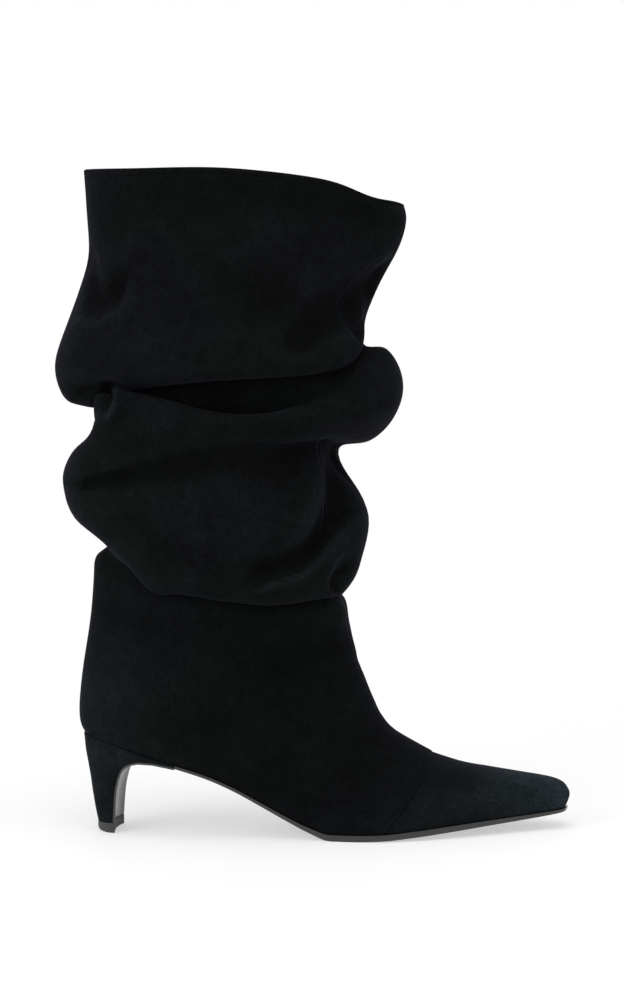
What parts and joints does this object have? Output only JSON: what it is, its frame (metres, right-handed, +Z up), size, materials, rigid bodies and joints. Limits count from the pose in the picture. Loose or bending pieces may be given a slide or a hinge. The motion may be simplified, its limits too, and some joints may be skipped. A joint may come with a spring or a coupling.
{
  "type": "slouch boot",
  "caption": "Right mid-calf boot in black suede with a pointed toe, slim covered kitten heel and a loose shaft slouched into soft folds.",
  "frame": {"origin": "bottom centre of the bounding box, on the floor", "axes": "+X towards the toe, +Y towards the inner side of the foot, +Z up"},
  "size_m": [0.285, 0.0994, 0.3674],
  "materials": {
    "upper": "black suede",
    "insole": "smooth black leather sock",
    "outsole": "polished black leather",
    "heel": "black suede cover",
    "top_piece": "dark grey rubber"
  },
  "bodies": {
    "root": {"upper": "upper", "insole": "insole", "outsole": "outsole", "heel": "heel", "top_piece": "top_piece"}
  },
  "joints": []
}
